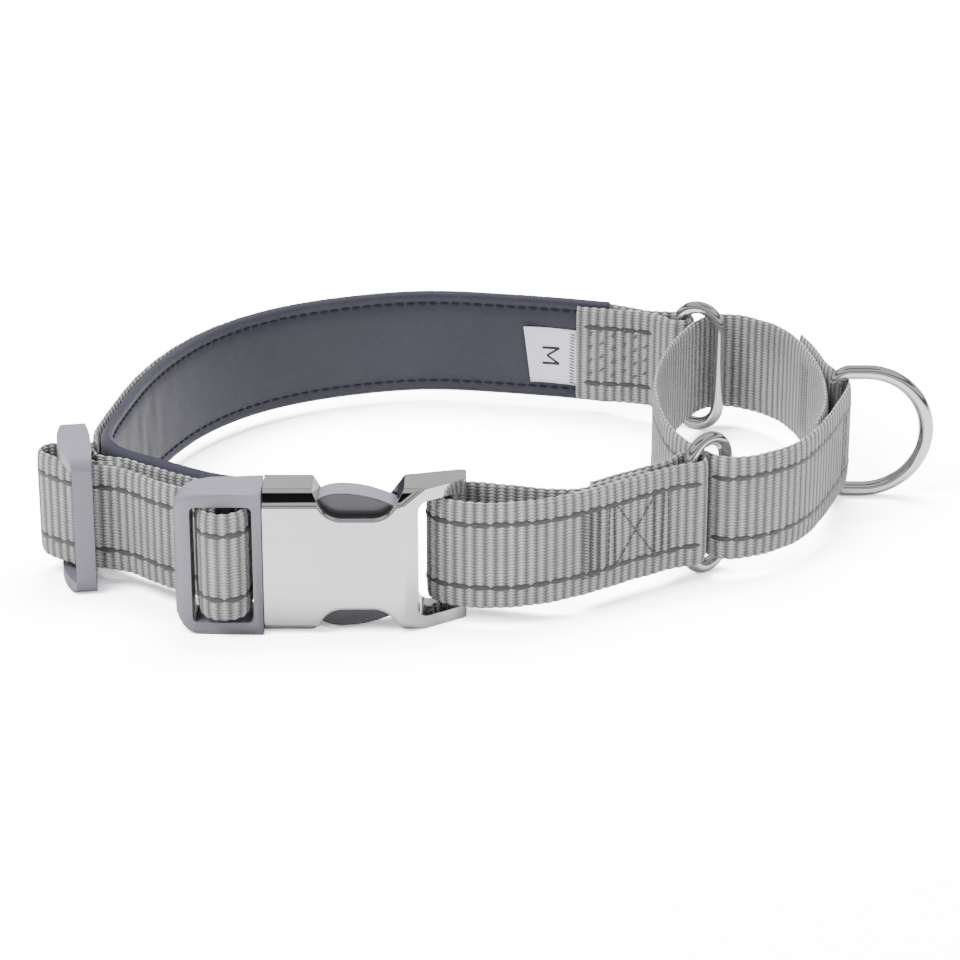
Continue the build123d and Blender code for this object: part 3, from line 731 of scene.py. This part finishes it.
def make_label(neck, looks, shift):
    """A small satin label, free along one edge, with a plain size letter."""
    def offset(along):
        return -LABEL_GAP - max(0.0, (along - LABEL_CURL_START) / 8.0) ** 2

    builder = Builder("size_label_sheet", shift)
    columns, steps = 20, 12
    rows = []
    for i in range(columns + 1):
        share = i / columns
        row = []
        for k in range(steps + 1):
            rise = k / steps
            along = LABEL_START - LABEL_LEAN * (1 - rise) + (LABEL_LONG + 0.3 * rise) * share
            height = LABEL_BOTTOM + LABEL_TALL * rise + 0.35 * share
            x, y = neck.at(along, offset(along))
            row.append(builder.add_point(x, y, height, along, height))
        rows.append(row)
    for a, b in zip(rows, rows[1:]):
        for k in range(steps):
            builder.faces.append((a[k], a[k + 1], b[k + 1], b[k]))
    sheet = builder.finish(looks["label"], "collar", ("size_label",))
    thicken(sheet, LABEL_THICK)
    zigzag = Builder("label_zigzag", shift)
    for i in range(17):
        height = 8.4 + 0.82 * i
        add_thread(zigzag, neck, (LABEL_START + 0.3, height), (LABEL_START + 1.7, height + 0.4),
                   face=-0.84, radius=0.17, lift=0.08)
    stitches = zigzag.finish(looks["box_thread"], "collar")
    letter = Builder("size_letter", shift)
    draw_letter(letter, neck, offset)
    mark = letter.finish(looks["ink"], "collar")


def draw_letter(builder, neck, offset):
    """A block M on its side; each stroke is its two ends and its width."""
    strokes = [((-2.1, -2.0), (-2.1, 2.0), 0.62), ((2.1, -2.0), (2.1, 2.0), 0.62),
               ((-2.1, 2.0), (0.0, -0.9), 0.5), ((0.0, -0.9), (2.1, 2.0), 0.5)]
    for first, last, width in strokes:
        long = math.hypot(last[0] - first[0], last[1] - first[1])
        side = (-(last[1] - first[1]) / long * width / 2, (last[0] - first[0]) / long * width / 2)
        rows = []
        for i in range(7):
            share = i / 6
            spot = [first[k] + (last[k] - first[k]) * share for k in (0, 1)]
            row = []
            for sign, lift in ((1, -0.12), (-1, -0.12), (-1, -0.2), (1, -0.2)):
                across = spot[0] + sign * side[0]
                up = spot[1] + sign * side[1]
                along = LETTER_CENTRE[0] - up * LETTER_STRETCH
                x, y = neck.at(along, offset(along) + lift)
                row.append(builder.add_point(x, y, LETTER_CENTRE[1] - across, along, across))
            rows.append(row)
        builder.add_sweep(rows)


def thicken(piece, thickness):
    """Gives an open sheet two faces."""
    solid = piece.modifiers.new("thickness", "SOLIDIFY")
    solid.thickness = thickness * MM
    solid.offset = 0.0
    apply_modifiers(piece)


def apply_modifiers(piece):
    graph = bpy.context.evaluated_depsgraph_get()
    mesh = bpy.data.meshes.new_from_object(piece.evaluated_get(graph))
    piece.modifiers.clear()
    piece.data = mesh


def make_adjuster(neck, looks, shift):
    """The free webbing: over the slider, round the buckle's bar and back."""
    track = adjuster_track(neck)
    heading = math.radians(SLIDER_TURN)
    slider_heading = (math.cos(heading), math.sin(heading))
    over = track.crossings(SLIDER_CENTRE, slider_heading)[0]
    cuts = [s for s in track.crossings(STRIP_SPLIT, STRIP_HEADING) if s > over]
    out, back = cuts[0], cuts[1]
    spans = {"adjuster_neck_side": [(0.0, over)],
             "adjuster_slider_side": [(over, out), (back, track.length)],
             "adjuster_buckle_side": [(out, back)]}
    neck_side = [slider_point(*spot) for spot in NECK_SIDE_FOLLOW]
    slider_side = [STRIP_SPLIT, slider_point(*SLIDER_SIDE_FOLLOW)]
    partners = {"adjuster_neck_side": ("slider", neck_side),
                "adjuster_slider_side": ("slider", slider_side),
                "adjuster_buckle_side": ("buckle_male", BUCKLE_FOLLOW)}
    bulge = (out + back) / 2
    dashes = {"adjuster_neck_side": (2.0, over),
              "adjuster_slider_side": (over, out),
              "adjuster_buckle_side": (out, bulge + 8.0)}
    for name, ranges in spans.items():
        builder = Builder(name, shift)
        for start, end in ranges:
            sweep_strip(builder, track, start, end, webbing_section, WEB_STEP)
        piece = builder.finish(looks["webbing"], None, ("adjuster_webbing",))
        partner, span = partners[name]
        start, end = [metres(point, shift) for point in span]
        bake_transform(piece)
        rows = Builder(name + "_dashes", shift)
        add_dashes(rows, track, *dashes[name], 1)
        marks = rows.finish(looks["dash"], None)
        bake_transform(marks)
    tacks = Builder("adjuster_tacks", shift)
    for along in (track.length - 4.2, track.length - 2.2):
        add_line_stitches(tacks, track, (along, WEB_MIDDLE - 9), (along, WEB_MIDDLE + 9),
                          THREAD_FACE)
    tacks.finish(looks["grey_thread"], "slider", ("adjuster_stitching",))


def metres(point, shift):
    """A plan point at the webbing's middle height, in metres in the part's frame."""
    return ((point[0] + shift[0]) * MM, (point[1] + shift[1]) * MM, WEB_MIDDLE * MM)


def make_front_strap(looks, shift):
    track = front_track()
    builder = Builder("front_strap_webbing", shift)
    sweep_strip(builder, track, 0.0, track.length, webbing_section, WEB_STEP)
    builder.finish(looks["webbing"], "collar", ("front_strap",))
    begin = track.nearest(SEWN_ROUTE[0])
    dashes = Builder("front_strap_dashes", shift)
    add_dashes(dashes, track, begin - 7.5, track.nearest(FRONT_LOOP[7]), -1)
    dashes.finish(looks["dash"], "collar", ("front_edge_threads",))
    box = Builder("front_box_stitches", shift)
    face = -THREAD_FACE
    radius = 0.24
    low, high = WEB_MIDDLE - 7.4, WEB_MIDDLE + 7.4
    near, far = begin + 5.4, begin + 16.6
    for along, lean in ((near - 4.0, 0.5), (near - 2.0, -0.4), (near, 0.3), (far, 0.6),
                        (far + 2.2, -0.3)):
        add_line_stitches(box, track, (along, low), (along + lean, high), face, radius=radius)
    add_line_stitches(box, track, (near, low), (far, high), face, radius=radius)
    add_line_stitches(box, track, (near, high), (far, low), face, radius=radius)
    for i in range(22):
        height = low - 1.0 + PICK_PITCH * i
        for along in (far + 4.2, far + 6.0, far + 7.8):
            add_thread(box, track, (along, height), (along + 1.5, height + 0.3), face,
                       radius=0.15, lift=0.1)
    box.finish(looks["box_thread"], "collar", ("front_fold_stitching",))


def make_control_loop(looks, shift):
    track = Track(LOOP_ROUTE)
    builder = Builder("control_loop_webbing", shift)
    sweep_strip(builder, track, 0.0, track.length, webbing_section, WEB_STEP)
    loop = builder.finish(looks["webbing"], None, ("control_loop",))
    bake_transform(loop)
    dashes = Builder("control_loop_dashes", shift)
    starts = [2.0] + [track.nearest(point) for point in LOOP_DASH_STARTS]
    for first, point in zip(starts, LOOP_DASH_ENDS):
        add_dashes(dashes, track, first, track.nearest(point), -1)
    marks = dashes.finish(looks["dash"], None, ("loop_edge_threads",))
    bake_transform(marks)
    tacks = Builder("control_loop_tacks", shift)
    for share in (0.056, 0.0625, 0.07, 0.148, 0.156):
        along = share * track.length
        add_line_stitches(tacks, track, (along, WEB_MIDDLE - 7.5), (along, WEB_MIDDLE + 7.5),
                          -THREAD_FACE)
    lapped = track.nearest(LAP_SEAM)
    for i in range(24):
        height = WEB_MIDDLE - 8.6 + PICK_PITCH * i
        for along in (lapped - 4.8, lapped - 2.6, lapped - 0.4):
            add_thread(tacks, track, (along, height), (along + 1.9, height + 0.35),
                       WEB_THICK / 2 + 0.03, radius=0.16, lift=0.1)
    tacks.finish(looks["grey_thread"], "loop_end", ("loop_stitching",))


# ---- Hard pieces --------------------------------------------------------------------------
SHARP_ANGLE = math.radians(28)
FLAT_ANGLE = math.radians(2.0)
WELD = 2e-6                        # metres


def rounded_copy(frame, node, width, material, body, soften=None):
    """The CAD shape with its sharp edges rounded over."""
    source = frame["nodes"][node]
    mesh = source.data.copy()
    work = bmesh.new()
    work.from_mesh(mesh)
    bmesh.ops.remove_doubles(work, verts=work.verts, dist=WELD)
    bmesh.ops.dissolve_limit(work, angle_limit=FLAT_ANGLE, verts=work.verts, edges=work.edges)
    if soften:
        soften(work)
    work.to_mesh(mesh)
    work.free()
    mesh.materials.clear()
    mesh.materials.append(material)
    piece = bpy.data.objects.new(node + "_rounded", mesh)
    bpy.context.scene.collection.objects.link(piece)
    bevel = piece.modifiers.new("edges", "BEVEL")
    bevel.width = width * MM
    bevel.segments = 3
    bevel.limit_method = "ANGLE"
    bevel.angle_limit = SHARP_ANGLE
    bevel.use_clamp_overlap = True
    bevel.harden_normals = True
    apply_modifiers(piece)
    drop_slivers(piece.data)
    piece.data.shade_smooth()
    normals = piece.modifiers.new("normals", "WEIGHTED_NORMAL")
    normals.keep_sharp = True
    apply_modifiers(piece)
    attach(piece, body)
    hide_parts(node)


def drop_slivers(mesh):
    """Merges the near-equal points and empty faces that rounding leaves where edges meet."""
    work = bmesh.new()
    work.from_mesh(mesh)
    bmesh.ops.remove_doubles(work, verts=work.verts, dist=SLIVER * MM)
    bmesh.ops.dissolve_degenerate(work, dist=SLIVER * MM, edges=work.edges)
    work.to_mesh(mesh)
    work.free()


def bevel_edges(work, shift, offset, wanted):
    """Rounds the sharp edges whose two ends are wanted."""
    chosen = []
    for edge in work.edges:
        if len(edge.link_faces) != 2 or edge.calc_face_angle() < SHARP_ANGLE:
            continue
        ends = [(v.co.x / MM - shift[0], v.co.y / MM - shift[1], v.co.z / MM) for v in edge.verts]
        if wanted(ends):
            chosen.append(edge)
    bmesh.ops.bevel(work, geom=chosen, offset=offset * MM, segments=5, profile=0.5,
                    affect="EDGES", clamp_overlap=False)


def shell_front(ends):
    """The notches' rims and the long front edges of the metal shell."""
    (x1, y1, _), (x2, y2, _) = ends
    front = max(y1, y2) < FACE_Y + BEVEL_DEEP + 2 * EDGE_MARGIN
    in_notch = (NOTCH_LEFT - EDGE_MARGIN < min(x1, x2)
                and max(x1, x2) < NOTCH_RIGHT + EDGE_MARGIN)
    rim = in_notch and abs(y1 - y2) < NOTCH_EDGE_DEEP
    return front and (rim or abs(x1 - x2) > LONG_EDGE)


def male_front(ends):
    """The outline of the plastic half, without the slot's rim."""
    low, high = RAIL - EDGE_MARGIN, BUCKLE_TALL - RAIL + EDGE_MARGIN
    for x, y, z in ends:
        in_slot = SLOT_LEFT - EDGE_MARGIN < x < SLOT_RIGHT + EDGE_MARGIN and low < z < high
        if in_slot or x > MALE_RIGHT - SEAT_MARGIN or y > FACE_Y + MALE_FRONT_DEEP:
            return False
    return True


def make_hardware(frame, looks, shift):
    """Rounded buckle and slider; the rings keep their CAD meshes and turn to metal."""
    rounded_copy(frame, "buckle_female_shell", SHELL_EDGE, looks["metal"], "collar",
                 soften=lambda work: bevel_edges(work, shift, SHELL_SOFT, shell_front))
    rounded_copy(frame, "buckle_male_frame", MALE_EDGE, looks["plastic"], "buckle_male",
                 soften=lambda work: bevel_edges(work, shift, MALE_SOFT, male_front))
    rounded_copy(frame, "slider_frame", SLIDER_EDGE, looks["plastic"], "slider")
    for side in ("upper", "lower"):
        rounded_copy(frame, side + "_latch_arm", LATCH_EDGE, looks["latch"], side + "_latch")
    for node in ("front_ring", "back_ring", "d_ring"):
        mesh = frame["nodes"][node].data
        mesh.materials.clear()
        mesh.materials.append(looks["metal"])


# ---- Stage --------------------------------------------------------------------------------
def area_light(name, place, size, power):
    """A soft light aimed at the collar; mirror rays don't see it."""
    data = bpy.data.lights.new(name, "AREA")
    data.shape = "RECTANGLE"
    data.size, data.size_y = size
    data.energy = power
    light = bpy.data.objects.new(name, data)
    light.location = place
    aim = Vector(LIGHT_TARGET) - Vector(place)
    light.rotation_euler = aim.to_track_quat("-Z", "Y").to_euler()
    light.visible_glossy = False
    bpy.context.scene.collection.objects.link(light)


def make_floor(material):
    mesh = bpy.data.meshes.new("floor_sheet")
    reach = FLOOR_REACH
    corners = [(-reach, -reach, 0), (reach, -reach, 0), (reach, reach, 0), (-reach, reach, 0)]
    mesh.from_pydata(corners, [], [(0, 1, 2, 3)])
    mesh.materials.append(material)
    floor = bpy.data.objects.new("floor_sheet", mesh)
    bpy.context.scene.collection.objects.link(floor)


def fill_ramp(node, stops):
    """Grey levels at positions along a colour ramp."""
    ramp = node.color_ramp
    ramp.elements[0].position = stops[0][0]
    ramp.elements[1].position = stops[-1][0]
    for position, _ in stops[1:-1]:
        ramp.elements.new(position)
    for element, (_, level) in zip(ramp.elements, stops):
        element.color = (level, level, level, 1)


def make_world():
    """Soft light from an even grey room; mirror rays see bands instead, the camera sees white."""
    world = bpy.data.worlds.new("studio")
    bpy.context.scene.world = world
    world.use_nodes = True
    tree = world.node_tree
    background = tree.nodes["Background"]
    coordinates = tree.nodes.new("ShaderNodeTexCoord")
    split = tree.nodes.new("ShaderNodeSeparateXYZ")
    bands = tree.nodes.new("ShaderNodeValToRGB")
    tree.links.new(coordinates.outputs["Generated"], split.inputs[0])
    tree.links.new(split.outputs["Z"], bands.inputs["Fac"])
    fill_ramp(bands, ROOM_BANDS)
    across = scaled(tree, split.outputs["Y"], 0.5, 0.5)
    panel = tree.nodes.new("ShaderNodeValToRGB")
    fill_ramp(panel, PANEL_BANDS)
    tree.links.new(across, panel.inputs["Fac"])
    high = tree.nodes.new("ShaderNodeMath")
    high.operation = "GREATER_THAN"
    tree.links.new(split.outputs["Z"], high.inputs[0])
    high.inputs[1].default_value = PANEL_LOW
    shade = tree.nodes.new("ShaderNodeMix")
    shade.data_type = "RGBA"
    shade.blend_type = "MULTIPLY"
    tree.links.new(high.outputs[0], shade.inputs[0])
    tree.links.new(bands.outputs["Color"], shade.inputs[6])
    tree.links.new(panel.outputs["Color"], shade.inputs[7])
    paths = tree.nodes.new("ShaderNodeLightPath")
    seen = tree.nodes.new("ShaderNodeMix")
    seen.data_type = "RGBA"
    tree.links.new(paths.outputs["Is Glossy Ray"], seen.inputs[0])
    seen.inputs[6].default_value = ROOM_COLOUR
    tree.links.new(shade.outputs[2], seen.inputs[7])
    tree.links.new(seen.outputs[2], background.inputs["Color"])
    strength = scaled(tree, paths.outputs["Is Camera Ray"], ROOM_CAMERA_GAIN, ROOM_STRENGTH)
    tree.links.new(strength, background.inputs["Strength"])


def scaled(tree, source, factor, offset):
    """source * factor + offset, as a node's output."""
    node = tree.nodes.new("ShaderNodeMath")
    node.operation = "MULTIPLY_ADD"
    tree.links.new(source, node.inputs[0])
    node.inputs[1].default_value = factor
    node.inputs[2].default_value = offset
    return node.outputs[0]


def make_camera():
    data = bpy.data.cameras.new("camera")
    data.lens = CAMERA_LENS
    data.sensor_width = 36.0
    data.clip_start = 0.01
    camera = bpy.data.objects.new("camera", data)
    angle = math.radians(CAMERA_ELEVATION)
    offset = Vector((0.0, -math.cos(angle), math.sin(angle))) * CAMERA_DISTANCE
    camera.location = Vector(CAMERA_TARGET) + offset
    camera.rotation_euler = (math.radians(90) - angle, 0.0, 0.0)
    bpy.context.scene.collection.objects.link(camera)
    bpy.context.scene.camera = camera


# ---- Build --------------------------------------------------------------------------------
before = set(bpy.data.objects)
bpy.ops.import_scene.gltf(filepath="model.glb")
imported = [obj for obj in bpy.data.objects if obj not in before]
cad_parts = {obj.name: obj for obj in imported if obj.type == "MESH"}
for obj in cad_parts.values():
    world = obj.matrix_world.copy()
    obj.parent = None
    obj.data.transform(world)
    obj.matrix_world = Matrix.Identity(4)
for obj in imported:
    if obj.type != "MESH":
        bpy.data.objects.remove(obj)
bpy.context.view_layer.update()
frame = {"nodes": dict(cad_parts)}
shift = plan_shift()
looks = {
    "webbing": webbing_material(),
    "dash": dash_material(),
    "grey_thread": thread_material("light_thread", (0.26, 0.26, 0.26), (0.44, 0.44, 0.435)),
    "box_thread": thread_material("box_thread", (0.06, 0.06, 0.062), (0.17, 0.17, 0.17)),
    "dark_thread": thread_material("seam_thread", (0.008, 0.008, 0.016), (0.03, 0.03, 0.05)),
    "lining": lining_material(),
    "label": label_material(),
    "ink": ink_material(),
    "plastic": plastic_material("plastic", 0.34),
    # The latches' plastic paints shade onto its faces that look along Y.
    "latch": plastic_material("plastic_gloss_painted_shade", 0.16, 0.95),
    "metal": metal_material(),
}
neck = Track(NECK_ROUTE)
make_lining(neck, looks, shift)
make_neck_strap(neck, looks, shift)
make_label(neck, looks, shift)
make_adjuster(neck, looks, shift)
make_front_strap(looks, shift)
make_control_loop(looks, shift)
make_hardware(frame, looks, shift)
make_floor(floor_material())
make_world()
for light_settings in LIGHTS:
    area_light(*light_settings)
make_camera()
